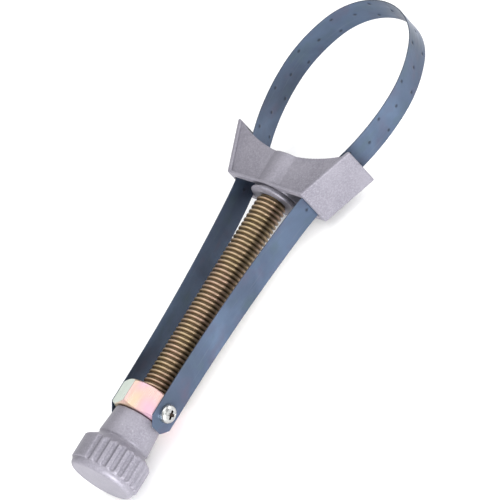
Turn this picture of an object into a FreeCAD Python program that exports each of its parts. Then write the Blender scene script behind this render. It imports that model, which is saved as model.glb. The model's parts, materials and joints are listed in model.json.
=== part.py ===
"""Adjustable steel-strap oil filter wrench, lying flat, modelled in millimetres.

X runs across the strap loop, Y along the screw from the knob to the loop, and Z is up.
Every sub-part is drawn about the screw's axis, with Y = 0 on the saddle's bottom plane,
and save() then moves it so that the origin is the centre of the wrench's underside.
"""
import FreeCAD, Part
import math
import os

from FreeCAD import Vector

os.makedirs("parts", exist_ok=True)

SCREW_AXIS = Vector(0, 1, 0)
ORIGIN = Vector(0, 0, 0)
THROUGH = 1.0                     # how far a cutter runs past the face it opens

# ---- cast saddle -------------------------------------------------------------------------
SADDLE_HEIGHT = 30.0              # bottom plane to the tips of the jaw
SADDLE_TOP_HALF = 39.5
SADDLE_FOOT_HALF = 25.8
SADDLE_DEPTH = 25.2
JAW_SAGITTA = 11.0                # how far the jaw's arc dips below its tips
END_WALL = 2.2
PANEL_RECESS = 2.2                # the broad panels stand back from the end walls' edges
FOOT_LIP = 1.5                    # raised lip left along the bottom of each panel
SLOT_DEPTH = 17.0                 # the strap's slots, measured along Z
HUB_RADIUS = 12.5
CAST_RADIUS = 0.7                 # rounding of the casting's outer corners
COUNTERBORE_RADIUS = 10.0
COUNTERBORE_FLOOR = 11.5

# ---- screw, washers and ring ---------------------------------------------------------------
THREAD_RADIUS = 8.0
THREAD_ROOT = 6.6
PITCH = 2.5
CREST = 0.35                      # width of the flat on each ridge and in each root
THREAD_TOP = -3.05                # the screw's shoulder, just under the thrust washer
THREAD_BOTTOM = -131.7
JOURNAL_RADIUS = 6.0
RUNNING_GAP = 0.06                # radial clearance round the turning journal
JOURNAL_TOP = 16.6
JOURNAL_CHAMFER = 0.6
WASHER_RADIUS = 13.0
WASHER_THICKNESS = 3.0
WASHER_RIM = 1.5                  # thickness of the washer's thin outer rim
WASHER_BOSS_RADIUS = 10.8
WASHER_EDGE = 0.4                 # bevel round the rim
RETAINER_THICKNESS = 1.5
RETAINER_RADIUS = 9.4
RING_GAP = 0.06                   # end float between washer and ring
RING_THICKNESS = 1.2
RING_RADIUS = 8.2
GROOVE_RADIUS = 5.3
RING_MOUTH = 60.0                 # opening of the ring, in degrees

# ---- nut and strap screws ------------------------------------------------------------------
NUT_FLATS = 28.0
NUT_TOP = -117.4
NUT_HEIGHT = 14.0
NUT_BORE_RADIUS = 8.1
NUT_CHAMFER = 1.3
NUT_FACE_INSET = 0.3              # the round end face, inside the flats
STRAP_SCREW_Y = -124.4
STRAP_SCREW_RADIUS = 2.5
STRAP_SCREW_REACH = 4.4           # shank inside the nut's wall
HEAD_RADIUS = 4.8
HEAD_HEIGHT = 3.1
HEAD_RIM = 1.0
HEAD_FACE_SHARE = 0.45            # flat middle of the head, as a share of its radius
HEAD_DOME_SHARE = 0.82            # where the dome is half-way, as a share of radius and height
RECESS_LENGTH = 6.0               # cross recess in the head
RECESS_WIDTH = 1.5
RECESS_DEPTH = 1.9
RECESS_FLOOR_SHARE = 0.35         # the blades taper to this share of their length
RECESS_FLARE = 0.3
RECESS_TURN = 20                  # degrees

# ---- knob ------------------------------------------------------------------------------------
KNOB_TOP = -131.9
NECK_LENGTH = 16.0
NECK_TOP_RADIUS = 12.35
NECK_FOOT_RADIUS = 13.55
SHOULDER_LENGTH = 4.0
NECK_GROOVE = 0.5                 # depth of the round groove at the foot of the neck
NECK_GROOVE_HALF = 1.0
NECK_GROOVE_RISE = 0.6            # its middle, above the foot of the neck
HEAD_BARREL_RADIUS = 18.3
BARREL_LENGTH = 12.8
BARREL_TOP_BEVEL = 0.7
BARREL_FOOT_BEVEL = 0.4
CAP_RADIUS = 17.3
CAP_LENGTH = 3.7
CAP_ROUND = 2.6
KNOB_BORE_DEPTH = 26.0
FLUTE_RADIUS = 1.35
FLUTE_STEP = 15.0                 # degrees between flutes
FLUTES_A_SIDE = 9
FLUTE_MIDDLE = 24.5               # middle of the first bank of flutes, in degrees from +X
PIN_RADIUS = 2.0
PIN_Y = -140.4
PIN_ANGLE = 224.5                 # side that the pin goes in from, in degrees from +X
PIN_START = 12.2
PIN_END = -8.5

# ---- strap -------------------------------------------------------------------------------------
STRAP_WIDTH = 16.0
STRAP_THICKNESS = 0.5
HINGE_GAP = 0.3                   # gap between neighbouring lengths of the strap
TAIL_Y = -134.4
TAIL_CHAMFER = 4.5
LOOP_RADIUS = 33.0                # the round top of the loop, at the middle of the strap's thickness
LOOP_CENTRE_Y = 79.55
LOOP_WIDEST = 36.8                # half-width of the loop where it is widest
STRAP_ON_NUT = NUT_FLATS / 2 + STRAP_THICKNESS / 2
LEG_FOOT = (STRAP_ON_NUT, -115.4)
LEG_HEAD = (20.35, -14.0)
JAW_EXIT = (30.5, 28.5)
CROWN_FOOT_ANGLE = 40.0           # where the crown begins on the loop's arc, from +X

# ---- the whole wrench ----------------------------------------------------------------------------
KNOB_BOTTOM = KNOB_TOP - NECK_LENGTH - SHOULDER_LENGTH - BARREL_LENGTH - CAP_LENGTH
LOOP_TOP = LOOP_CENTRE_Y + LOOP_RADIUS + STRAP_THICKNESS / 2
TO_ROW = Vector(0, -(KNOB_BOTTOM + LOOP_TOP) / 2, HEAD_BARREL_RADIUS)


def save(name, shape):
    """Put one finished sub-part in the wrench's frame and write it."""
    shape = shape.copy()
    shape.translate(TO_ROW)
    shape.exportStep(f"parts/{name}.step")


def prism(edges, low, high):
    """A closed outline in the XY plane, made solid from Z = low to Z = high."""
    face = Part.Face(Part.Wire(edges))
    face.translate(Vector(0, 0, low))
    return face.extrude(Vector(0, 0, high - low))


def polygon(points):
    corners = [Vector(x, y, 0) for x, y in points]
    return Part.makePolygon(corners + corners[:1]).Edges


def turned(points):
    """A closed outline of (radius, Y) points, turned about the screw's axis."""
    face = Part.Face(Part.Wire(polygon(points)))
    return face.revolve(ORIGIN, SCREW_AXIS, 360)


def rod(radius, low, high):
    """A plain cylinder on the screw's axis."""
    return Part.makeCylinder(radius, high - low, Vector(0, low, 0), SCREW_AXIS)


def mirrored(shape):
    return shape.mirror(ORIGIN, Vector(1, 0, 0))


# ---- cast saddle -----------------------------------------------------------------------------------
def end_face_x(y, inset):
    """Half-width of the flared saddle at height y, less an inset."""
    flare = (SADDLE_TOP_HALF - SADDLE_FOOT_HALF) / SADDLE_HEIGHT
    return SADDLE_FOOT_HALF + flare * y - inset


def saddle_blank():
    """The flared block with its concave jaw."""
    left_tip = Vector(-SADDLE_TOP_HALF, SADDLE_HEIGHT, 0)
    right_tip = Vector(SADDLE_TOP_HALF, SADDLE_HEIGHT, 0)
    dip = Vector(0, SADDLE_HEIGHT - JAW_SAGITTA, 0)
    left_foot = Vector(-SADDLE_FOOT_HALF, 0, 0)
    right_foot = Vector(SADDLE_FOOT_HALF, 0, 0)
    edges = [
        Part.makeLine(left_foot, right_foot),
        Part.makeLine(right_foot, right_tip),
        Part.Arc(right_tip, dip, left_tip).toShape(),
        Part.makeLine(left_tip, left_foot),
    ]
    return prism(edges, -SADDLE_DEPTH / 2, SADDLE_DEPTH / 2)


def between_end_walls(low, high, z_low, z_high):
    """The space inside the end walls, from Y = low to Y = high."""
    outline = [
        (-end_face_x(low, END_WALL), low),
        (end_face_x(low, END_WALL), low),
        (end_face_x(high, END_WALL), high),
        (-end_face_x(high, END_WALL), high),
    ]
    return prism(polygon(outline), z_low, z_high)


def round_casting(blank):
    """Soften the four long corners of the casting, which run along Z."""
    half = SADDLE_DEPTH / 2
    corners = []
    for edge in blank.Edges:
        ends = [vertex.Point for vertex in edge.Vertexes]
        along_z = abs(ends[0].z - ends[1].z) > half
        if along_z:
            corners.append(edge)
    return blank.makeFillet(CAST_RADIUS, corners)


def saddle():
    top = SADDLE_HEIGHT + THROUGH
    front = SADDLE_DEPTH / 2 + THROUGH
    panel = SADDLE_DEPTH / 2 - PANEL_RECESS
    hub = rod(HUB_RADIUS, -THROUGH, top)
    casting = round_casting(saddle_blank())
    casting = casting.cut(between_end_walls(FOOT_LIP, top, panel, front).cut(hub))
    casting = casting.cut(between_end_walls(FOOT_LIP, top, -front, -panel).cut(hub))
    slots = between_end_walls(-THROUGH, top, -SLOT_DEPTH / 2, SLOT_DEPTH / 2)
    casting = casting.cut(slots.cut(hub))
    casting = casting.cut(rod(JOURNAL_RADIUS + RUNNING_GAP, -THROUGH, top))
    return casting.cut(rod(COUNTERBORE_RADIUS, COUNTERBORE_FLOOR, top))


# ---- screw, washers and ring -----------------------------------------------------------------------
def thrust_washer():
    """The stepped washer that carries the screw's thrust under the saddle."""
    rim_top = WASHER_RIM - WASHER_THICKNESS
    bore = JOURNAL_RADIUS + RUNNING_GAP
    return turned([
        (bore, -WASHER_THICKNESS),
        (WASHER_RADIUS - WASHER_EDGE, -WASHER_THICKNESS),
        (WASHER_RADIUS, WASHER_EDGE - WASHER_THICKNESS),
        (WASHER_RADIUS, rim_top - WASHER_EDGE),
        (WASHER_RADIUS - WASHER_EDGE, rim_top),
        (WASHER_BOSS_RADIUS, rim_top),
        (WASHER_BOSS_RADIUS, 0),
        (bore, 0),
    ])


def retaining_washer():
    low = COUNTERBORE_FLOOR
    high = low + RETAINER_THICKNESS
    ring = rod(RETAINER_RADIUS, low, high)
    return ring.cut(rod(JOURNAL_RADIUS + RUNNING_GAP, low - THROUGH, high + THROUGH))


def ring_low():
    return COUNTERBORE_FLOOR + RETAINER_THICKNESS + RING_GAP


def retaining_ring():
    """The open ring that snaps into the journal's groove."""
    low = ring_low()
    high = low + RING_THICKNESS
    ring = rod(RING_RADIUS, low, high)
    ring = ring.cut(rod(GROOVE_RADIUS, low - THROUGH, high + THROUGH))
    reach = 2 * RING_RADIUS
    half_mouth = reach * math.tan(math.radians(RING_MOUTH / 2))
    mouth = polygon([(0, 0), (reach, -half_mouth), (reach, half_mouth)])
    wedge = prism(mouth, low - THROUGH, high + THROUGH)
    wedge.rotate(ORIGIN, Vector(1, 0, 0), -90)
    return ring.cut(wedge)


def thread_outline():
    """Ridge after ridge down the rod, as (radius, Y) points."""
    slope = PITCH / 2 - CREST
    ridges = int((THREAD_TOP - THREAD_BOTTOM) / PITCH)
    outline = []
    for turn in range(ridges):
        y = THREAD_TOP - turn * PITCH
        outline.append((THREAD_ROOT, y))
        outline.append((THREAD_RADIUS, y - slope))
        outline.append((THREAD_RADIUS, y - slope - CREST))
        outline.append((THREAD_ROOT, y - 2 * slope - CREST))
    return outline


def threaded_rod():
    """Thread, the journal that turns in the saddle, and the spigot inside the knob."""
    spigot_end = KNOB_TOP - KNOB_BORE_DEPTH
    outline = [(0, JOURNAL_TOP)]
    outline.append((JOURNAL_RADIUS - JOURNAL_CHAMFER, JOURNAL_TOP))
    outline.append((JOURNAL_RADIUS, JOURNAL_TOP - JOURNAL_CHAMFER))
    outline.append((JOURNAL_RADIUS, ring_low() + RING_THICKNESS))
    outline.append((GROOVE_RADIUS, ring_low() + RING_THICKNESS))
    outline.append((GROOVE_RADIUS, ring_low()))
    outline.append((JOURNAL_RADIUS, ring_low()))
    outline.append((JOURNAL_RADIUS, THREAD_TOP))
    outline.extend(thread_outline())
    outline.append((THREAD_ROOT, THREAD_BOTTOM))
    outline.append((JOURNAL_RADIUS, THREAD_BOTTOM))
    outline.append((JOURNAL_RADIUS, spigot_end))
    outline.append((0, spigot_end))
    return turned(outline).cut(knob_pin())


# ---- nut and strap screws ----------------------------------------------------------------------------
def hex_nut():
    low = NUT_TOP - NUT_HEIGHT
    corner = NUT_FLATS / math.sqrt(3)
    points = []
    for side in range(6):
        angle = math.radians(30 + 60 * side)
        points.append((corner * math.cos(angle), corner * math.sin(angle)))
    blank = prism(polygon(points), low, NUT_TOP)
    blank.rotate(ORIGIN, Vector(1, 0, 0), -90)
    flat = NUT_FLATS / 2 - NUT_FACE_INSET
    drop = (corner - flat) * math.tan(math.radians(30))
    envelope = turned([
        (0, low),
        (flat, low),
        (corner, low + drop),
        (corner, NUT_TOP - drop),
        (flat, NUT_TOP),
        (0, NUT_TOP),
    ])
    wide = NUT_BORE_RADIUS + NUT_CHAMFER
    bore = turned([
        (0, low - THROUGH),
        (wide + THROUGH, low - THROUGH),
        (NUT_BORE_RADIUS, low + NUT_CHAMFER),
        (NUT_BORE_RADIUS, NUT_TOP - NUT_CHAMFER),
        (wide + THROUGH, NUT_TOP + THROUGH),
        (0, NUT_TOP + THROUGH),
    ])
    nut = blank.common(envelope).cut(bore)
    return nut.cut(strap_screw_shank()).cut(mirrored(strap_screw_shank()))


def strap_screw_shank():
    start = NUT_FLATS / 2 - STRAP_SCREW_REACH
    length = STRAP_SCREW_REACH + STRAP_THICKNESS
    return Part.makeCylinder(STRAP_SCREW_RADIUS, length, Vector(start, STRAP_SCREW_Y, 0), Vector(1, 0, 0))


def screw_head():
    """A pan head, flat on the strap, with its rim rolled into a low dome."""
    seat = NUT_FLATS / 2 + STRAP_THICKNESS
    face_radius = HEAD_RADIUS * HEAD_FACE_SHARE
    on_seat = Vector(seat, 0, 0)
    rim_foot = Vector(seat, HEAD_RADIUS, 0)
    rim_top = Vector(seat + HEAD_RIM, HEAD_RADIUS, 0)
    shoulder = Vector(seat + HEAD_HEIGHT * HEAD_DOME_SHARE, HEAD_RADIUS * HEAD_DOME_SHARE, 0)
    face_edge = Vector(seat + HEAD_HEIGHT, face_radius, 0)
    face_middle = Vector(seat + HEAD_HEIGHT, 0, 0)
    edges = [
        Part.makeLine(on_seat, rim_foot),
        Part.makeLine(rim_foot, rim_top),
        Part.Arc(rim_top, shoulder, face_edge).toShape(),
        Part.makeLine(face_edge, face_middle),
        Part.makeLine(face_middle, on_seat),
    ]
    return Part.Face(Part.Wire(edges)).revolve(ORIGIN, Vector(1, 0, 0), 360)


def recess_blade():
    """One tapering blade of the cross recess."""
    top = NUT_FLATS / 2 + STRAP_THICKNESS + HEAD_HEIGHT + THROUGH
    floor = top - THROUGH - RECESS_DEPTH
    half = RECESS_LENGTH / 2
    floor_half = half * RECESS_FLOOR_SHARE
    top_half = half + RECESS_FLARE
    outline = [(floor, -floor_half), (top, -top_half), (top, top_half), (floor, floor_half)]
    return prism(polygon(outline), -RECESS_WIDTH / 2, RECESS_WIDTH / 2)


def strap_screw():
    screw = screw_head()
    blade = recess_blade()
    for turn in (RECESS_TURN, RECESS_TURN + 90):
        cut = blade.copy()
        cut.rotate(ORIGIN, Vector(1, 0, 0), turn)
        screw = screw.cut(cut)
    screw.translate(Vector(0, STRAP_SCREW_Y, 0))
    return screw.fuse(strap_screw_shank()).removeSplitter()


# ---- knob ----------------------------------------------------------------------------------------------
def knob_blank():
    """Tapered neck, sloping shoulder, barrel and a slightly smaller rounded cap."""
    neck_foot = KNOB_TOP - NECK_LENGTH
    barrel_top = neck_foot - SHOULDER_LENGTH
    cap_top = barrel_top - BARREL_LENGTH
    groove = neck_foot + NECK_GROOVE_RISE
    turn = CAP_ROUND * (1 - math.sqrt(0.5))
    top_edge = Vector(NECK_TOP_RADIUS, KNOB_TOP, 0)
    groove_top = Vector(NECK_FOOT_RADIUS, groove + NECK_GROOVE_HALF, 0)
    groove_deep = Vector(NECK_FOOT_RADIUS - NECK_GROOVE, groove, 0)
    groove_foot = Vector(NECK_FOOT_RADIUS, groove - NECK_GROOVE_HALF, 0)
    cap_side = Vector(CAP_RADIUS, KNOB_BOTTOM + CAP_ROUND, 0)
    cap_bend = Vector(CAP_RADIUS - turn, KNOB_BOTTOM + turn, 0)
    cap_edge = Vector(CAP_RADIUS - CAP_ROUND, KNOB_BOTTOM, 0)
    chain = [
        Vector(0, KNOB_TOP, 0),
        top_edge,
        groove_top,
        (groove_deep, groove_foot),
        Vector(HEAD_BARREL_RADIUS - BARREL_TOP_BEVEL, barrel_top + BARREL_TOP_BEVEL, 0),
        Vector(HEAD_BARREL_RADIUS, barrel_top, 0),
        Vector(HEAD_BARREL_RADIUS, cap_top + BARREL_FOOT_BEVEL, 0),
        Vector(HEAD_BARREL_RADIUS - BARREL_FOOT_BEVEL, cap_top, 0),
        Vector(CAP_RADIUS, cap_top, 0),
        cap_side,
        (cap_bend, cap_edge),
        Vector(0, KNOB_BOTTOM, 0),
        Vector(0, KNOB_TOP, 0),
    ]
    edges = []
    here = chain[0]
    for step in chain[1:]:
        if isinstance(step, tuple):
            edges.append(Part.Arc(here, step[0], step[1]).toShape())
            here = step[1]
        else:
            edges.append(Part.makeLine(here, step))
            here = step
    return Part.Face(Part.Wire(edges)).revolve(ORIGIN, SCREW_AXIS, 360)


def flutes():
    """Two banks of straight grooves, with a plain land between them on each side."""
    low = KNOB_BOTTOM + CAP_LENGTH
    high = low + BARREL_LENGTH + SHOULDER_LENGTH
    grooves = []
    for bank in (0, 180):
        for step in range(FLUTES_A_SIDE):
            angle = FLUTE_MIDDLE + bank + (step - (FLUTES_A_SIDE - 1) / 2) * FLUTE_STEP
            x = HEAD_BARREL_RADIUS * math.cos(math.radians(angle))
            z = HEAD_BARREL_RADIUS * math.sin(math.radians(angle))
            foot = Vector(x, low, z)
            grooves.append(Part.makeCylinder(FLUTE_RADIUS, high - low, foot, SCREW_AXIS))
    return grooves


def knob_pin():
    """A blind cross pin through one wall of the neck and the screw's spigot."""
    angle = math.radians(PIN_ANGLE)
    inward = Vector(-math.cos(angle), 0, -math.sin(angle))
    start = Vector(PIN_START * math.cos(angle), PIN_Y, PIN_START * math.sin(angle))
    return Part.makeCylinder(PIN_RADIUS, PIN_START - PIN_END, start, inward)


def pin_hole():
    """The pin's hole in the knob, open to the outside and with the pin's blind end."""
    angle = math.radians(PIN_ANGLE)
    outward = Vector(math.cos(angle), 0, math.sin(angle))
    start = Vector(PIN_END * math.cos(angle), PIN_Y, PIN_END * math.sin(angle))
    return Part.makeCylinder(PIN_RADIUS, NECK_FOOT_RADIUS + THROUGH - PIN_END, start, outward)


def knob():
    body = knob_blank()
    for groove in flutes():
        body = body.cut(groove)
    body = body.cut(rod(JOURNAL_RADIUS, KNOB_TOP - KNOB_BORE_DEPTH, KNOB_TOP + THROUGH))
    return body.cut(pin_hole())


# ---- strap -----------------------------------------------------------------------------------------------
def heading(start, end):
    """Direction from one point to another, in radians from +Y towards +X."""
    return math.atan2(end[0] - start[0], end[1] - start[1])


def sector(centre, radius, start, end):
    """A length of strap bent to an arc; angles in radians from +X, and start may exceed end."""
    inner = radius - STRAP_THICKNESS / 2
    outer = radius + STRAP_THICKNESS / 2

    def at(r, angle):
        return Vector(centre[0] + r * math.cos(angle), centre[1] + r * math.sin(angle), 0)

    middle = (start + end) / 2
    edges = [
        Part.Arc(at(outer, start), at(outer, middle), at(outer, end)).toShape(),
        Part.makeLine(at(outer, end), at(inner, end)),
        Part.Arc(at(inner, end), at(inner, middle), at(inner, start)).toShape(),
        Part.makeLine(at(inner, start), at(outer, start)),
    ]
    return prism(edges, -STRAP_WIDTH / 2, STRAP_WIDTH / 2)


def bent_length(start, lean, end):
    """A length of strap between two points, leaving the first at the given lean."""
    turn = 2 * (heading(start, end) - lean)
    radius = math.dist(start, end) / 2 / math.sin(turn / 2)
    centre = (start[0] + radius * math.cos(lean), start[1] - radius * math.sin(lean))
    trim = HINGE_GAP / 2 / radius
    return sector(centre, radius, math.pi - lean - trim, math.pi - lean - turn + trim)


def tail():
    """The end of the strap that is screwed to the nut, with its corners cut off."""
    half = STRAP_WIDTH / 2
    top = LEG_FOOT[1] - HINGE_GAP / 2
    outline = [
        (-half, TAIL_Y + TAIL_CHAMFER),
        (-half + TAIL_CHAMFER, TAIL_Y),
        (half - TAIL_CHAMFER, TAIL_Y),
        (half, TAIL_Y + TAIL_CHAMFER),
        (half, top),
        (-half, top),
    ]
    plate = prism(polygon(outline), NUT_FLATS / 2, NUT_FLATS / 2 + STRAP_THICKNESS)
    plate.rotate(ORIGIN, SCREW_AXIS, 90)
    return plate.cut(strap_screw_shank())


def leg():
    """Leaves the nut along its flat and curves gently outwards up to the saddle."""
    return bent_length(LEG_FOOT, 0.0, LEG_HEAD)


def leg_lean():
    return 2 * heading(LEG_FOOT, LEG_HEAD)


def throat():
    """From the leg's head out through the saddle's slot, curving outwards more tightly."""
    return bent_length(LEG_HEAD, leg_lean(), JAW_EXIT)


def side_arc():
    """Centre and radius of the arc that runs on from the throat to the widest point."""
    lean = 2 * heading(LEG_HEAD, JAW_EXIT) - leg_lean()
    radius = (LOOP_WIDEST - JAW_EXIT[0]) / (1 - math.cos(lean))
    centre = (LOOP_WIDEST - radius, JAW_EXIT[1] + radius * math.sin(lean))
    return centre, radius, lean


def side():
    centre, radius, lean = side_arc()
    trim = HINGE_GAP / 2 / radius
    return sector(centre, radius, trim - lean, -trim)


def shoulder():
    """From the widest point, one arc to the round top, then the round top to the crown."""
    rise = LOOP_CENTRE_Y - side_arc()[0][1]
    bulge = LOOP_WIDEST - LOOP_RADIUS
    join = 2 * math.atan(bulge / rise)
    radius = LOOP_RADIUS + rise / math.sin(join)
    centre = (LOOP_WIDEST - radius, LOOP_CENTRE_Y - rise)
    crown_foot = math.radians(CROWN_FOOT_ANGLE) - HINGE_GAP / 2 / LOOP_RADIUS
    lower = sector(centre, radius, HINGE_GAP / 2 / radius, join)
    upper = sector((0.0, LOOP_CENTRE_Y), LOOP_RADIUS, join, crown_foot)
    return lower.fuse(upper).removeSplitter()


def crown():
    trim = HINGE_GAP / 2 / LOOP_RADIUS
    low = math.radians(CROWN_FOOT_ANGLE) + trim
    return sector((0.0, LOOP_CENTRE_Y), LOOP_RADIUS, low, math.pi / 2 - trim)


# ---- everything ----------------------------------------------------------------------------------------------
SINGLE_PARTS = {
    "saddle": saddle,
    "thrust_washer": thrust_washer,
    "retaining_washer": retaining_washer,
    "retaining_ring": retaining_ring,
    "threaded_rod": threaded_rod,
    "hex_nut": hex_nut,
    "knob": knob,
    "knob_pin": knob_pin,
}
PAIRED_PARTS = {
    "strap_screw": strap_screw,
    "strap_tail": tail,
    "strap_leg": leg,
    "strap_throat": throat,
    "strap_side": side,
    "strap_shoulder": shoulder,
    "strap_crown": crown,
}

for part_name, make in SINGLE_PARTS.items():
    save(part_name, make())
for part_name, make in PAIRED_PARTS.items():
    right = make()
    save(f"{part_name}_right", right)
    save(f"{part_name}_left", mirrored(right))
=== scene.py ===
"""The looks of an adjustable steel-strap oil filter wrench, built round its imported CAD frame.

Everything is in metres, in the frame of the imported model: X across the loop, Y along the
screw from the knob to the loop, Z up.
"""
import json
import math

import bmesh
import bpy
import numpy as np
from mathutils import Matrix, Vector


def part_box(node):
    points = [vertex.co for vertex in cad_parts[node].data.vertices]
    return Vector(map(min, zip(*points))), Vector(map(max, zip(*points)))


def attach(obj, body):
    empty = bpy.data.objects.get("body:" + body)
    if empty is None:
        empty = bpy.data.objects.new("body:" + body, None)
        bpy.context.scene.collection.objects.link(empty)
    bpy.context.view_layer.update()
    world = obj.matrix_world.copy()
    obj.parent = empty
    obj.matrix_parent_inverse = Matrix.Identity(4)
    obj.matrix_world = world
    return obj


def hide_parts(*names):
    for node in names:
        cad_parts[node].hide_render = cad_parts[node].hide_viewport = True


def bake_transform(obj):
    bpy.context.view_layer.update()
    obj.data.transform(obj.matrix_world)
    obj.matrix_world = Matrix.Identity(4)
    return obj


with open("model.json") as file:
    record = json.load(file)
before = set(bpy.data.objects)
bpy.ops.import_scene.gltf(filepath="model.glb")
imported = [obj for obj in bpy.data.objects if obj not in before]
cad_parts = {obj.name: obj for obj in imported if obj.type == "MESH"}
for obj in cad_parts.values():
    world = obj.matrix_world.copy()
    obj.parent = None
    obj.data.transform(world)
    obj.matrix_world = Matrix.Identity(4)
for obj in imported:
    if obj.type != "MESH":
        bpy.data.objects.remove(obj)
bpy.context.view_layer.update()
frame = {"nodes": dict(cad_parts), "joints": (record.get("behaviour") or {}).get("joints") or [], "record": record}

MM = 0.001
RECORD = frame["record"]
JOINTS = {joint["name"]: joint for joint in frame["joints"]}
BODY_OF = {node: body for body, nodes in RECORD["behaviour"]["bodies"].items() for node in nodes}
LOOP_MOUNT = next(mount for mount in RECORD["mounts"] if mount["name"] == "filter_loop")


def middle(node):
    low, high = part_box(node)
    return (low + high) / 2


AXIS_X = middle("threaded_rod").x
AXIS_Z = middle("threaded_rod").z
WELD = 0.001 * MM
STRAP_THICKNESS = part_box("strap_tail_right")[1].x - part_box("strap_tail_right")[0].x
STRAP_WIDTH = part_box("strap_leg_right")[1].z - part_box("strap_leg_right")[0].z


# ---- meshes --------------------------------------------------------------------------------------
def mark_sharp(mesh, degrees):
    """Smooth shading everywhere except across edges that turn by more than degrees."""
    shape = bmesh.new()
    shape.from_mesh(mesh)
    limit = math.radians(degrees)
    for face in shape.faces:
        face.smooth = True
    for edge in shape.edges:
        edge.smooth = len(edge.link_faces) == 2 and edge.calc_face_angle() < limit
    shape.to_mesh(mesh)
    shape.free()


def add_piece(name, mesh, finish):
    """A new object of the wrench, at the origin, with its finish."""
    piece = bpy.data.objects.new(name, mesh)
    bpy.context.scene.collection.objects.link(piece)
    mesh.materials.clear()
    mesh.materials.append(finish)
    return piece


def stand_for(piece, node):
    """piece takes the CAD node's place and rides on the same body."""
    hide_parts(node)
    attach(piece, BODY_OF[node])


def grid_mesh(name, rings, closed_ends=True):
    """Skin a list of closed rings, each with the same number of points."""
    rings = np.asarray(rings, float)
    count, around = rings.shape[:2]
    faces = []
    for row in range(count - 1):
        for column in range(around):
            after = (column + 1) % around
            faces.append((
                row * around + column,
                row * around + after,
                (row + 1) * around + after,
                (row + 1) * around + column,
            ))
    if closed_ends:
        faces.append(tuple(reversed(range(around))))
        faces.append(tuple(range((count - 1) * around, count * around)))
    mesh = bpy.data.meshes.new(name)
    mesh.from_pydata(rings.reshape(-1, 3).tolist(), [], faces)
    mesh.validate()
    shape = bmesh.new()
    shape.from_mesh(mesh)
    bmesh.ops.recalc_face_normals(shape, faces=shape.faces)
    shape.to_mesh(mesh)
    shape.free()
    return mesh


def softened(node, name, voxel, rounds):
    """The CAD node's shape with every edge rounded off, as a cast or rolled part has them."""
    mesh = frame["nodes"][node].data.copy()
    shape = bmesh.new()
    shape.from_mesh(mesh)
    bmesh.ops.remove_doubles(shape, verts=shape.verts, dist=WELD)
    shape.to_mesh(mesh)
    shape.free()
    blank = bpy.data.objects.new(name + "_blank", mesh)
    bpy.context.scene.collection.objects.link(blank)
    remesh = blank.modifiers.new("remesh", "REMESH")
    remesh.mode = "VOXEL"
    remesh.voxel_size = voxel
    smooth = blank.modifiers.new("smooth", "SMOOTH")
    smooth.factor = 0.5
    smooth.iterations = rounds
    depsgraph = bpy.context.evaluated_depsgraph_get()
    result = bpy.data.meshes.new_from_object(blank.evaluated_get(depsgraph))
    result.name = name
    bpy.data.objects.remove(blank)
    return result


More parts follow.
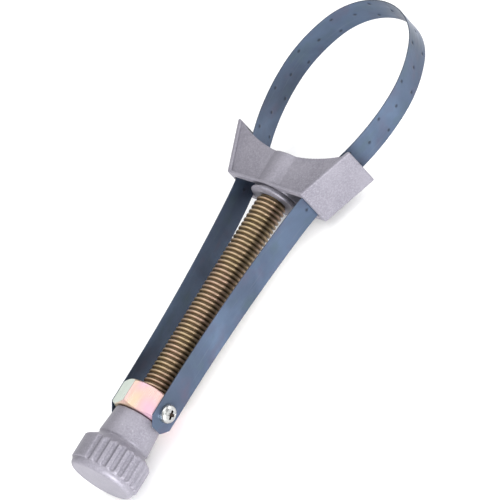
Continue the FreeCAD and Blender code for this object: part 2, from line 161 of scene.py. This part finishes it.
# ---- finishes --------------------------------------------------------------------------------------
class Finish:
    """A small helper round one procedural material."""

    def __init__(self, name, metallic, roughness):
        self.material = bpy.data.materials.new(name)
        self.material.use_nodes = True
        self.tree = self.material.node_tree
        self.shader = self.tree.nodes["Principled BSDF"]
        self.shader.inputs["Metallic"].default_value = metallic
        self.shader.inputs["Roughness"].default_value = roughness
        self.place = self.tree.nodes.new("ShaderNodeTexCoord").outputs["Object"]
        self.normal = None

    def plug(self, socket, value):
        if isinstance(value, bpy.types.NodeSocket):
            self.tree.links.new(value, socket)
        else:
            socket.default_value = value

    def scaled(self, scale, source=None):
        """Coordinates stretched by scale, a 3-vector."""
        node = self.tree.nodes.new("ShaderNodeMapping")
        self.plug(node.inputs["Vector"], source or self.place)
        node.inputs["Scale"].default_value = scale
        return node.outputs["Vector"]

    def noise(self, scale, detail=4.0, rough=0.55, source=None, distortion=0.0):
        node = self.tree.nodes.new("ShaderNodeTexNoise")
        self.plug(node.inputs["Vector"], source or self.place)
        node.inputs["Scale"].default_value = scale
        node.inputs["Detail"].default_value = detail
        node.inputs["Roughness"].default_value = rough
        node.inputs["Distortion"].default_value = distortion
        return node.outputs["Fac"]

    def cells(self, scale, source=None):
        node = self.tree.nodes.new("ShaderNodeTexVoronoi")
        self.plug(node.inputs["Vector"], source or self.place)
        node.inputs["Scale"].default_value = scale
        return node.outputs["Distance"]

    def math(self, operation, *values):
        node = self.tree.nodes.new("ShaderNodeMath")
        node.operation = operation
        for socket, value in zip(node.inputs, values):
            self.plug(socket, value)
        return node.outputs[0]

    def span(self, value, low, high, to_low=0.0, to_high=1.0):
        """value from low..high to to_low..to_high, clamped."""
        node = self.tree.nodes.new("ShaderNodeMapRange")
        self.plug(node.inputs["Value"], value)
        node.inputs["From Min"].default_value = low
        node.inputs["From Max"].default_value = high
        node.inputs["To Min"].default_value = to_low
        node.inputs["To Max"].default_value = to_high
        return node.outputs["Result"]

    def ramp(self, value, stops):
        """Colour stops as (position, (r, g, b))."""
        node = self.tree.nodes.new("ShaderNodeValToRGB")
        self.plug(node.inputs["Fac"], value)
        elements = node.color_ramp.elements
        while len(elements) < len(stops):
            elements.new(0.5)
        for element, (position, colour) in zip(elements, stops):
            element.position = position
            element.color = (*colour, 1.0)
        return node.outputs["Color"]

    def mix(self, amount, first, second, blend="MIX"):
        node = self.tree.nodes.new("ShaderNodeMix")
        node.data_type = "RGBA"
        node.blend_type = blend
        self.plug(node.inputs["Factor"], amount)
        for key, value in (("A", first), ("B", second)):
            socket = next(s for s in node.inputs if s.name == key and s.type == "RGBA")
            if isinstance(value, tuple):
                value = (*value, 1.0)
            self.plug(socket, value)
        return next(s for s in node.outputs if s.type == "RGBA")

    def radius_from_screw(self):
        """Distance from the screw's axis, in metres."""
        split = self.tree.nodes.new("ShaderNodeSeparateXYZ")
        self.plug(split.inputs[0], self.place)
        x = self.math("SUBTRACT", split.outputs["X"], AXIS_X)
        z = self.math("SUBTRACT", split.outputs["Z"], AXIS_Z)
        squares = self.math("ADD", self.math("MULTIPLY", x, x), self.math("MULTIPLY", z, z))
        return self.math("SQRT", squares)

    def height_above_screw(self):
        """Height of the point above the screw's axis, in metres."""
        split = self.tree.nodes.new("ShaderNodeSeparateXYZ")
        self.plug(split.inputs[0], self.place)
        return self.math("SUBTRACT", split.outputs["Z"], AXIS_Z)

    def edge(self, low, high):
        """0 to 1 as the surface's sharpness goes from low to high: 0.5 is flat, more is convex."""
        pointiness = self.tree.nodes.new("ShaderNodeNewGeometry").outputs["Pointiness"]
        return self.span(pointiness, low, high)

    def bump(self, height, distance, strength=1.0):
        node = self.tree.nodes.new("ShaderNodeBump")
        node.inputs["Strength"].default_value = strength
        node.inputs["Distance"].default_value = distance
        self.plug(node.inputs["Height"], height)
        if self.normal is not None:
            self.plug(node.inputs["Normal"], self.normal)
        self.normal = node.outputs["Normal"]

    def done(self, colour, roughness=None):
        self.plug(self.shader.inputs["Base Color"], colour)
        if roughness is not None:
            self.plug(self.shader.inputs["Roughness"], roughness)
        if self.normal is not None:
            self.plug(self.shader.inputs["Normal"], self.normal)
        return self.material


def cast_alloy():
    """Sand-cast aluminium: lavender grey, grainy, brighter where edges are rubbed, with painted shade in its
    creases and hollows.
    """
    finish = Finish("cast_alloy", metallic=0.3, roughness=0.5)
    broad = finish.noise(55.0, detail=3.0)
    grain = finish.noise(1100.0, detail=5.0, rough=0.65)
    pits = finish.cells(800.0)
    body = finish.ramp(broad, [(0.3, (0.150, 0.143, 0.175)), (0.7, (0.205, 0.197, 0.232))])
    speckled = finish.mix(finish.span(grain, 0.42, 0.68), body, (0.245, 0.236, 0.272))
    pitted = finish.mix(finish.span(pits, 0.0, 0.24, 0.5, 0.0), speckled, (0.085, 0.08, 0.10))
    # painted shade: the alloy is darkened where the surface is concave, in creases and hollows
    painted_hollow_shade = finish.mix(finish.edge(0.49, 0.44), pitted, (0.075, 0.07, 0.088))
    wear_and_edge_shade = finish.mix(finish.math("MULTIPLY", finish.edge(0.53, 0.60), 0.4), painted_hollow_shade, (0.36, 0.35, 0.38))
    finish.bump(grain, 0.12 * MM, 0.7)
    finish.bump(finish.noise(420.0, detail=3.0), 0.3 * MM, 0.45)
    return finish.done(wear_and_edge_shade, finish.span(grain, 0.3, 0.7, 0.42, 0.62))


def blued_steel():
    """Spring steel, blued unevenly, with fine marks along the strip, painted shade along its long edges and on its
    nibs.
    """
    finish = Finish("blued_spring_steel", metallic=0.6, roughness=0.38)
    along = finish.tree.nodes.new("ShaderNodeUVMap")
    along.uv_map = "strip"
    strip = along.outputs["UV"]
    clouds = finish.noise(28.0, detail=5.0, source=strip, distortion=0.6)
    tint = finish.noise(60.0, detail=3.0, source=finish.scaled((1.0, 1.4, 1.0), strip))
    streaks = finish.noise(260.0, detail=4.0, source=finish.scaled((0.12, 3.0, 1.0), strip))
    blue = finish.ramp(clouds, [
        (0.28, (0.044, 0.060, 0.094)),
        (0.5, (0.062, 0.088, 0.142)),
        (0.72, (0.088, 0.128, 0.200)),
    ])
    violet = finish.mix(finish.span(tint, 0.52, 0.74, 0.0, 0.6), blue, (0.086, 0.074, 0.115))
    teal = finish.mix(finish.span(tint, 0.46, 0.28, 0.0, 0.5), violet, (0.060, 0.096, 0.108))
    rubbed = finish.mix(finish.span(streaks, 0.58, 0.8, 0.0, 0.3), teal, (0.17, 0.20, 0.25))
    # painted shade: the blued steel darkens to near black along the strap's long edges
    across = finish.math("ABSOLUTE", finish.height_above_screw())
    rim = finish.span(across, STRAP_WIDTH / 2 - 0.3 * MM, STRAP_WIDTH / 2 - 0.02 * MM, 0.0, 0.6)
    wear_and_edge_shade = finish.mix(rim, rubbed, (0.035, 0.038, 0.048))
    # painted shade: the punched nibs are darkened towards near black, most at their tips
    nib = finish.tree.nodes.new("ShaderNodeAttribute")
    nib.attribute_name = "nib"
    nib_painted_shade = finish.mix(finish.span(nib.outputs["Fac"], 0.05, 0.7, 0.0, 0.7), wear_and_edge_shade, (0.012, 0.016, 0.026))
    finish.bump(streaks, 0.03 * MM, 0.5)
    return finish.done(nib_painted_shade, finish.span(streaks, 0.3, 0.75, 0.3, 0.5))


def plated_thread():
    """Yellow-passivated thread: bronze, with painted shade in the roots and a painted highlight on the crests."""
    finish = Finish("bronze_plated_thread", metallic=0.8, roughness=0.36)
    height = finish.span(finish.radius_from_screw(), 6.9 * MM, 8.0 * MM)
    clouds = finish.noise(70.0, detail=4.0)
    flank = finish.ramp(clouds, [
        (0.3, (0.20, 0.15, 0.070)),
        (0.5, (0.25, 0.180, 0.095)),
        (0.7, (0.27, 0.165, 0.120)),
    ])
    # painted highlight: lighter bronze on the thread crests, set by distance from the axis
    crest = finish.ramp(clouds, [(0.35, (0.36, 0.28, 0.165)), (0.65, (0.385, 0.265, 0.20))])
    # painted shade: the thread roots are darkened, set by distance from the axis
    painted_root_shade = finish.mix(finish.span(height, 0.0, 0.4), (0.085, 0.060, 0.033), flank)
    colour = finish.mix(finish.span(height, 0.5, 1.0), painted_root_shade, crest)
    fine = finish.noise(900.0, detail=3.0)
    finish.bump(fine, 0.03 * MM, 0.5)
    return finish.done(colour, finish.span(fine, 0.3, 0.7, 0.28, 0.46))


def iridescent_zinc():
    """Zinc with a thin passivation film: pink, yellow and pale green by turns."""
    finish = Finish("iridescent_zinc", metallic=0.6, roughness=0.32)
    film = finish.noise(45.0, detail=2.0, distortion=0.3, source=finish.scaled((1.0, 0.8, 1.0)))
    warm = finish.ramp(film, [
        (0.36, (0.44, 0.30, 0.34)),
        (0.47, (0.47, 0.37, 0.24)),
        (0.55, (0.46, 0.31, 0.26)),
        (0.66, (0.44, 0.28, 0.34)),
    ])
    facing = finish.tree.nodes.new("ShaderNodeNewGeometry").outputs["Normal"]
    split = finish.tree.nodes.new("ShaderNodeSeparateXYZ")
    finish.plug(split.inputs[0], facing)
    cool_side = finish.span(split.outputs["X"], -0.15, -0.4)
    colour = finish.mix(cool_side, warm, (0.42, 0.48, 0.42))
    brushed = finish.noise(700.0, detail=4.0, source=finish.scaled((1.0, 0.15, 1.0)))
    bare = finish.mix(finish.math("MULTIPLY", finish.edge(0.53, 0.60), 0.6), colour, (0.50, 0.48, 0.43))
    finish.bump(brushed, 0.03 * MM, 0.5)
    return finish.done(bare, finish.span(brushed, 0.3, 0.7, 0.24, 0.42))


def bright_steel():
    """Zinc-plated screws, with painted shade in the cross recess."""
    finish = Finish("bright_zinc", metallic=0.95, roughness=0.22)
    fine = finish.noise(900.0, detail=4.0)
    colour = finish.ramp(fine, [(0.3, (0.34, 0.35, 0.35)), (0.7, (0.50, 0.50, 0.49))])
    recess = finish.tree.nodes.new("ShaderNodeAttribute")
    recess.attribute_name = "recess_depth"
    # painted shade: the cross recess is darkened to dark brown by its depth below the head's dome
    painted_hollow_shade = finish.span(recess.outputs["Fac"], 0.12 * MM, 0.35 * MM)
    recess_painted_shade = finish.mix(painted_hollow_shade, colour, (0.035, 0.026, 0.02))
    finish.bump(fine, 0.02 * MM, 0.5)
    return finish.done(recess_painted_shade, finish.span(fine, 0.3, 0.7, 0.16, 0.32))


def plain_steel():
    finish = Finish("plain_steel", metallic=1.0, roughness=0.35)
    fine = finish.noise(600.0, detail=4.0)
    colour = finish.ramp(fine, [(0.3, (0.32, 0.32, 0.33)), (0.7, (0.52, 0.52, 0.53))])
    finish.bump(fine, 0.03 * MM, 0.6)
    return finish.done(colour, finish.span(fine, 0.3, 0.7, 0.28, 0.45))


ALLOY = cast_alloy()
BLUED = blued_steel()
THREAD = plated_thread()
IRIDESCENT = iridescent_zinc()
BRIGHT = bright_steel()
PLAIN = plain_steel()


# ---- castings, washers and screws --------------------------------------------------------------------
CASTINGS = (("saddle", 0.4 * MM, 5), ("knob", 0.30 * MM, 3), ("thrust_washer", 0.25 * MM, 3))
SCREW_VOXEL = 0.13 * MM
HEAD_RING_STEP = 0.3 * MM
RECESS_REACH = 3.3 * MM


def castings():
    """Saddle, knob and thrust washer, with the soft edges of castings."""
    for node, voxel, rounds in CASTINGS:
        mesh = softened(node, node + "_casting", voxel, rounds)
        mark_sharp(mesh, 60.0)
        stand_for(add_piece(node + "_casting", mesh, ALLOY), node)


def mark_recess(mesh, centre, outward):
    """Writes how far each point near the screw's middle lies below the head's dome."""
    points = np.array([vertex.co for vertex in mesh.vertices])
    across = np.hypot(points[:, 1] - centre.y, points[:, 2] - centre.z)
    ring = np.floor(across / HEAD_RING_STEP).astype(int)
    dome = np.full(ring.max() + 1, -np.inf)
    np.maximum.at(dome, ring, points[:, 0] * outward)
    depth = np.where(across < RECESS_REACH, dome[ring] - points[:, 0] * outward, 0.0)
    mesh.attributes.new("recess_depth", "FLOAT", "POINT").data.foreach_set("value", depth)


def strap_screws():
    for side, outward in (("right", 1.0), ("left", -1.0)):
        node = "strap_screw_" + side
        mesh = softened(node, node + "_pan_head", SCREW_VOXEL, 2)
        mark_recess(mesh, middle(node), outward)
        mark_sharp(mesh, 50.0)
        stand_for(add_piece(node + "_pan_head", mesh, BRIGHT), node)


def hidden_fittings():
    """Plain steel pieces that the CAD model already shapes."""
    for node in ("retaining_washer", "retaining_ring", "knob_pin"):
        mesh = frame["nodes"][node].data
        mesh.materials.clear()
        mesh.materials.append(PLAIN)


# ---- threaded rod ------------------------------------------------------------------------------------
THREAD_AROUND = 64
THREAD_ROWS_PER_TURN = 18
THREAD_PITCH = 2.5 * MM
THREAD_ROOT = 6.9 * MM
THREAD_CREST = 7.97 * MM
JOURNAL_RADIUS = 6.0 * MM
THREAD_FADE = 2.0 * MM
THREAD_ABOVE_KNOB = 0.2 * MM
THREAD_BELOW_WASHER = 0.05 * MM
RING_GROOVE = 0.7 * MM
JOURNAL_CHAMFER = 0.6 * MM


def round_screw(x, y, z):
    """Points at one height, from their distances to the screw's axis."""
    return np.stack([AXIS_X + x, np.full_like(x, y), AXIS_Z + z], axis=1)


def thread_ridge(phase):
    """Ridge height from 0 to 1 over one pitch, with a rounded crest and root."""
    wave = 0.5 + 0.5 * np.cos(2 * np.pi * phase)
    return np.clip((wave - 0.12) / 0.72, 0.0, 1.0) ** 0.85


def rod_rings(low, high):
    """Rings of the right-hand helical thread between two heights."""
    rows = int((high - low) / THREAD_PITCH * THREAD_ROWS_PER_TURN)
    turn = np.linspace(0.0, 2 * np.pi, THREAD_AROUND, endpoint=False)
    rings = []
    for y in np.linspace(low, high, rows):
        fade = min(1.0, (y - low) / THREAD_FADE, (high - y) / THREAD_FADE)
        ridge = thread_ridge(y / THREAD_PITCH - turn / (2 * np.pi)) * fade
        radius = THREAD_ROOT + (THREAD_CREST - THREAD_ROOT) * ridge
        rings.append(round_screw(radius * np.sin(turn), y, radius * np.cos(turn)))
    return rings


def plain_ring(y, radius):
    turn = np.linspace(0.0, 2 * np.pi, THREAD_AROUND, endpoint=False)
    return round_screw(radius * np.sin(turn), y, radius * np.cos(turn))


def threaded_rod():
    """The screw with a true helical thread, its journal and its spigot."""
    low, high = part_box("threaded_rod")
    thread_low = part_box("knob")[1].y + THREAD_ABOVE_KNOB
    thread_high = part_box("thrust_washer")[0].y - THREAD_BELOW_WASHER
    ring_low, ring_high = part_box("retaining_ring")
    rings = [plain_ring(low.y, JOURNAL_RADIUS), plain_ring(thread_low, JOURNAL_RADIUS)]
    rings += rod_rings(thread_low, thread_high)
    rings.append(plain_ring(thread_high, JOURNAL_RADIUS))
    rings.append(plain_ring(ring_low.y, JOURNAL_RADIUS))
    rings.append(plain_ring(ring_low.y, JOURNAL_RADIUS - RING_GROOVE))
    rings.append(plain_ring(ring_high.y, JOURNAL_RADIUS - RING_GROOVE))
    rings.append(plain_ring(ring_high.y, JOURNAL_RADIUS))
    rings.append(plain_ring(high.y - JOURNAL_CHAMFER, JOURNAL_RADIUS))
    rings.append(plain_ring(high.y, JOURNAL_RADIUS - JOURNAL_CHAMFER))
    mesh = grid_mesh("threaded_rod_helix", rings)
    mark_sharp(mesh, 55.0)
    stand_for(add_piece("threaded_rod_helix", mesh, THREAD), "threaded_rod")


# ---- hex nut --------------------------------------------------------------------------------------------
NUT_AROUND = 288
NUT_CORNER = 0.35 * MM
NUT_BORE = 8.1 * MM
NUT_FACE_INSET = 0.3 * MM
NUT_MOUTH = 1.3 * MM
NUT_BEVEL = math.radians(30)


def soft_min(first, second, round_off):
    """The lower of two heights, blended over about round_off."""
    gap = np.clip(0.5 + 0.5 * (second - first) / round_off, 0.0, 1.0)
    return second + (first - second) * gap - round_off * gap * (1.0 - gap)


def hex_radius(turn, across_flats):
    """Distance from the axis to a hexagon with flats at X+ and X-, its corners rounded."""
    apothem = across_flats / 2
    nearest = np.mod(turn + np.pi / 6, np.pi / 3) - np.pi / 6
    here = apothem / np.cos(nearest)
    other = apothem / np.cos(np.pi / 3 - np.abs(nearest))
    return soft_min(here, other, NUT_CORNER)


def hex_nut():
    low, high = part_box("hex_nut")
    flats = high.x - low.x
    corner = flats / math.sqrt(3)
    face_radius = flats / 2 - NUT_FACE_INSET
    length = high.y - low.y
    turn = np.linspace(0.0, 2 * np.pi, NUT_AROUND, endpoint=False)
    hexagon = hex_radius(turn, flats)
    drop = (corner - face_radius) * math.tan(NUT_BEVEL)

    def ring(y, radius):
        return round_screw(radius * np.cos(turn), y, radius * np.sin(turn))

    rings = []
    bevel = np.linspace(0.0, drop, 12)
    flank = np.linspace(drop, length - drop, 10)[1:-1]
    steps = np.concatenate([bevel, flank, np.linspace(length - drop, length, 12)])
    for step in steps:
        from_end = min(step, length - step)
        cone = face_radius + from_end / math.tan(NUT_BEVEL)
        rings.append(ring(low.y + step, soft_min(hexagon, np.full_like(turn, cone), NUT_CORNER)))
    round_face = np.full_like(turn, face_radius - NUT_FACE_INSET)
    mouth = np.full_like(turn, NUT_BORE + NUT_MOUTH)
    bore = np.full_like(turn, NUT_BORE)
    rings.append(ring(high.y, round_face))
    rings.append(ring(high.y, mouth))
    rings.append(ring(high.y - NUT_MOUTH, bore))
    rings.append(ring(low.y + NUT_MOUTH, bore))
    rings.append(ring(low.y, mouth))
    rings.append(ring(low.y, round_face))
    rings.append(rings[0])
    mesh = grid_mesh("hex_nut_body", rings, closed_ends=False)
    shape = bmesh.new()
    shape.from_mesh(mesh)
    bmesh.ops.remove_doubles(shape, verts=shape.verts, dist=WELD)
    bmesh.ops.recalc_face_normals(shape, faces=shape.faces)
    shape.to_mesh(mesh)
    shape.free()
    mark_sharp(mesh, 40.0)
    stand_for(add_piece("hex_nut_body", mesh, IRIDESCENT), "hex_nut")


# ---- strap ------------------------------------------------------------------------------------------------
TAIL_CHAMFER = 4.5 * MM
EDGE_CHAMFER = 0.1 * MM
DIMPLE_PITCH = 11.3 * MM
DIMPLE_RADIUS = 1.3 * MM
DIMPLE_HEIGHT = 0.4 * MM
DIMPLE_OFFSET = 5.0 * MM
ACROSS = 32
FINE_STEP = 0.5 * MM
COARSE_STEP = 2.0 * MM
CROWN_GAP = 0.06 * MM
PLAIN_PAST_THROAT = 8.0 * MM
BEND_REACH = 16.0 * MM
FOOT_REACH = 2.0 * MM
LEFT_STRIP_SHIFT = 0.1


class Route:
    """The middle line of half the strap, in the XY plane, by distance from the tail's end."""

    def __init__(self):
        self.runs = []
        self.length = 0.0

    def line(self, start, end):
        lean = (end - start).normalized()
        self.add((end - start).length, lambda s: (start + lean * s, lean))

    def arc(self, centre, radius, first, last):
        """From angle first to angle last, in radians from +X; last may be the lower one."""
        way = 1.0 if last > first else -1.0

        def at(s):
            angle = first + way * s / radius
            out = Vector((math.cos(angle), math.sin(angle)))
            return centre + out * radius, Vector((-out.y, out.x)) * way

        self.add(abs(last - first) * radius, at)

    def bend(self, start, lean, end):
        """An arc between two points that leaves the first at lean, from +Y towards +X."""
        chord = end - start
        turn = 2 * (math.atan2(chord.x, chord.y) - lean)
        radius = chord.length / 2 / math.sin(turn / 2)
        centre = start + Vector((math.cos(lean), -math.sin(lean))) * radius
        facing = math.pi if radius > 0 else 0.0
        self.arc(centre, abs(radius), facing - lean, facing - lean - turn)
        return lean + turn

    def add(self, length, at):
        self.runs.append((self.length, length, at))
        self.length += length

    def at(self, s):
        for start, length, at in self.runs:
            if s <= start + length + 1e-9:
                break
        return at(s - start)


def hinge_point(length):
    """Where one length of the right-hand strap begins, from its joint."""
    x, y, _ = JOINTS[f"{length}_bend_right"]["pos_m"]
    return Vector((x, y))


def strap_route():
    """Tail, leg, throat, side, shoulder and crown, and the distance of each hinge."""
    tail_low, tail_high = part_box("strap_tail_right")
    leg, throat, side = hinge_point("leg"), hinge_point("throat"), hinge_point("side")
    widest = hinge_point("shoulder")
    loop_centre = Vector(LOOP_MOUNT["pos_m"][:2])
    loop_radius = LOOP_MOUNT["dims"]["r_mm"] * MM + STRAP_THICKNESS / 2
    route = Route()
    route.line(Vector(((tail_low.x + tail_high.x) / 2, tail_low.y)), leg)
    hinges = {"leg": route.length}
    lean = route.bend(leg, 0.0, throat)
    hinges["throat"] = route.length
    lean = route.bend(throat, lean, side)
    hinges["side"] = route.length
    route.bend(side, lean, widest)
    hinges["shoulder"] = route.length
    rise = loop_centre.y - widest.y
    join = 2 * math.atan((widest.x - loop_radius) / rise)
    radius = loop_radius + rise / math.sin(join)
    route.arc(widest - Vector((radius, 0.0)), radius, 0.0, join)
    crown_point = hinge_point("crown") - loop_centre
    crown = math.atan2(crown_point.y, crown_point.x)
    hinges["crown"] = route.length + (crown - join) * loop_radius
    route.arc(loop_centre, loop_radius, join, math.pi / 2)
    return route, hinges


ROUTE, HINGES = strap_route()
DIMPLED_FROM = HINGES["throat"] + PLAIN_PAST_THROAT


def dimple_height(s, across):
    """How far the strap's punched nibs stand in towards the loop's middle."""
    from_top = ROUTE.length - s
    row = round(from_top / DIMPLE_PITCH)
    if s < DIMPLED_FROM:
        return 0.0
    places = (0.0,) if row % 2 == 0 else (-DIMPLE_OFFSET, DIMPLE_OFFSET)
    best = 0.0
    for place in places:
        reach = math.hypot(from_top - row * DIMPLE_PITCH, across - place) / DIMPLE_RADIUS
        if reach < 1.0:
            best = max(best, (1.0 - reach * reach) ** 1.5)
    return best * DIMPLE_HEIGHT


def half_width(s):
    return STRAP_WIDTH / 2 - max(0.0, TAIL_CHAMFER - s)


def strap_ring(s, mirror):
    """One cross-section of the strap and its texture coordinates."""
    point, along = ROUTE.at(s)
    out = Vector((along.y, -along.x))
    half = half_width(s)
    thick = STRAP_THICKNESS / 2
    flat = np.linspace(-half + EDGE_CHAMFER, half - EDGE_CHAMFER, ACROSS + 1)
    section = [(w, thick) for w in flat]
    section += [(half, thick - EDGE_CHAMFER), (half, EDGE_CHAMFER - thick)]
    section += [(w, -thick) for w in flat[::-1]]
    section += [(-half, EDGE_CHAMFER - thick), (-half, thick - EDGE_CHAMFER)]
    ring = []
    for w, depth in section:
        offset = depth - dimple_height(s, w)
        x = (point.x + out.x * offset) * mirror
        ring.append((x, point.y + out.y * offset, AXIS_Z + w))
    nibs = [dimple_height(s, w) / DIMPLE_HEIGHT for w, _ in section]
    return ring, [(s, w) for w, _ in section], nibs


def strap_rows(start, end):
    """Distances of the cross-sections: close together where the strap is dimpled."""
    rows = [start]
    while rows[-1] < end - 1e-7:
        fine = rows[-1] >= DIMPLED_FROM - COARSE_STEP or rows[-1] < TAIL_CHAMFER
        rows.append(min(end, rows[-1] + (FINE_STEP if fine else COARSE_STEP)))
    return rows


def strap_strip(name, start, end, mirror):
    rings, coordinates, nibs = [], [], []
    for s in strap_rows(start, end):
        ring, place, height = strap_ring(s, mirror)
        rings.append(ring)
        coordinates.extend(place)
        nibs.extend(height)
    mesh = grid_mesh(name, rings)
    layer = mesh.uv_layers.new(name="strip")
    for loop in mesh.loops:
        s, w = coordinates[loop.vertex_index]
        layer.data[loop.index].uv = (s, w + (LEFT_STRIP_SHIFT if mirror < 0 else 0.0))
    mark_sharp(mesh, 35.0)
    mesh.attributes.new("nib", "FLOAT", "POINT").data.foreach_set("value", nibs)
    return add_piece(name, mesh, BLUED)


def halfway(first, second):
    return (HINGES[first] + HINGES[second]) / 2


def strap_pieces():
    """The strap cut mid-length into pieces, each spanning one hinge."""
    top_from = halfway("shoulder", "crown")
    cuts = [
        ("foot", "leg", "nut", 0.0, halfway("leg", "throat"), ("tail", "leg")),
        ("slot", "throat", "leg", halfway("leg", "throat"), halfway("throat", "side"), ("throat",)),
        ("jaw", "side", "throat", halfway("throat", "side"), halfway("side", "shoulder"), ("side",)),
        ("flank", "shoulder", "side", halfway("side", "shoulder"), top_from, ("shoulder",)),
        ("top", "crown", "shoulder", top_from, ROUTE.length - CROWN_GAP, ("crown",)),
    ]
    for side, mirror in (("right", 1.0), ("left", -1.0)):
        for label, hinge, parent, start, end, nodes in cuts:
            strip = strap_strip(f"strap_{label}_{side}", start, end, mirror)
            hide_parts(*[f"strap_{node}_{side}" for node in nodes])
            bend_from = max(HINGES[hinge] - (FOOT_REACH if label == "foot" else BEND_REACH), start)
            bend_to = min(HINGES[hinge] + BEND_REACH, end)
            low, _ = ROUTE.at(bend_from)
            high, _ = ROUTE.at(bend_to)
            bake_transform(strip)


# ---- studio --------------------------------------------------------------------------------------
VIEW_BACK = Vector((0.67746, -0.25182, 0.69111)).normalized()
VIEW_UP = Vector((-0.22696, 0.82217, 0.52205)).normalized()
VIEW_AIM = Vector((-3.2, -0.4, 11.2)) * MM
VIEW_DISTANCE = 3.35
VIEW_WIDTH = 245.6 * MM
FLOOR_REACH = 4.0
FLOOR_DROP = 0.2 * MM


def studio_floor():
    finish = Finish("studio_floor", metallic=0.0, roughness=0.85)
    colour = finish.ramp(finish.noise(3.0), [(0.3, (0.94, 0.94, 0.94)), (0.7, (0.96, 0.96, 0.96))])
    mesh = bpy.data.meshes.new("floor")
    corners = [(-FLOOR_REACH, -FLOOR_REACH, 0), (FLOOR_REACH, -FLOOR_REACH, 0)]
    corners += [(FLOOR_REACH, FLOOR_REACH, 0), (-FLOOR_REACH, FLOOR_REACH, 0)]
    mesh.from_pydata(corners, [], [(0, 1, 2, 3)])
    floor = bpy.data.objects.new("floor", mesh)
    floor.location.z = -FLOOR_DROP
    mesh.materials.append(finish.done(colour))
    bpy.context.scene.collection.objects.link(floor)


def area_light(name, direction, distance, size, power):
    """A square soft light that faces the wrench."""
    data = bpy.data.lights.new(name, "AREA")
    data.shape = "SQUARE"
    data.size = size
    data.energy = power
    lamp = bpy.data.objects.new(name, data)
    direction = direction.normalized()
    lamp.location = VIEW_AIM + direction * distance
    lamp.rotation_mode = "QUATERNION"
    lamp.rotation_quaternion = direction.to_track_quat("Z", "Y")
    bpy.context.scene.collection.objects.link(lamp)


def studio():
    area_light("key", Vector((0.66, -0.75, 0.06)), 1.2, 0.55, 29.0)
    area_light("rim", Vector((0.5, 0.85, 0.2)), 1.2, 0.7, 6.0)
    area_light("fill", VIEW_BACK, 1.3, 0.8, 2.5)
    area_light("top", Vector((-0.1, 0.2, 1)), 1.3, 1.2, 7.5)
    world = bpy.data.worlds.new("studio")
    world.use_nodes = True
    world.node_tree.nodes["Background"].inputs["Color"].default_value = (1, 1, 1, 1)
    world.node_tree.nodes["Background"].inputs["Strength"].default_value = 0.75
    bpy.context.scene.world = world


def camera():
    data = bpy.data.cameras.new("camera")
    data.sensor_width = 36.0
    data.lens = data.sensor_width * VIEW_DISTANCE / VIEW_WIDTH
    data.clip_start = 0.01
    lens = bpy.data.objects.new("camera", data)
    right = VIEW_UP.cross(VIEW_BACK)
    turn = Matrix((right, VIEW_UP, VIEW_BACK)).transposed().to_4x4()
    lens.matrix_world = Matrix.Translation(VIEW_AIM + VIEW_BACK * VIEW_DISTANCE) @ turn
    bpy.context.scene.collection.objects.link(lens)
    bpy.context.scene.camera = lens


camera()
castings()
strap_screws()
hidden_fittings()
threaded_rod()
hex_nut()
strap_pieces()
studio_floor()
studio()
bpy.context.scene.view_settings.view_transform = "Standard"
bpy.context.scene.view_settings.exposure = 0.25
